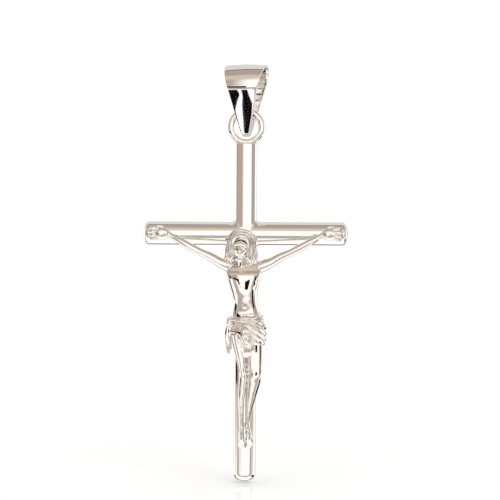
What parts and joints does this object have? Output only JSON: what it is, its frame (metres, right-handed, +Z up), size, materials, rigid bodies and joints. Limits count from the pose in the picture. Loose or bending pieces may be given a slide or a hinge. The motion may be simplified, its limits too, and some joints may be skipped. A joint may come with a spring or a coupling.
{
  "type": "crucifix pendant",
  "caption": "Polished silver crucifix pendant: a cross of round tube with domed ends, a cast figure on its front, and a tapered bail that swings on a soldered ring.",
  "frame": {"origin": "centre of the bail's round chain seat, where the chain or cord carries the pendant", "axes": "+Z up along the cross's upright, the figure faces -Y, +X to the right along the crossbar seen from the front"},
  "size_m": [0.021, 0.006, 0.0429],
  "materials": {
    "rolled_silver": "mirror-polished rolled strip",
    "silver_wire": "polished round wire",
    "silver_tube": "mirror-polished drawn tube",
    "turned_silver": "polished turned plug",
    "cast_silver": "tumbled and polished casting, darker in its hollows"
  },
  "bodies": {
    "bail": {"bail": "rolled_silver"},
    "crucifix": {"suspension_ring": "silver_wire", "crown_cap": "turned_silver", "upper_upright_tube": "silver_tube", "crossbar_tube": "silver_tube", "lower_upright_tube": "silver_tube", "foot_cap": "turned_silver", "left_end_cap": "turned_silver", "right_end_cap": "turned_silver", "corpus": "cast_silver", "left_hand_pin": "silver_wire", "right_hand_pin": "silver_wire", "foot_pin": "silver_wire"}
  },
  "joints": [
    {"name": "bail_swing", "type": "hinge", "parent": "bail", "child": "crucifix", "pos_m": [0, 0, -0.0027], "axis": [0.9703, -0.2419, 0], "range_deg": [-100, 100]}
  ]
}
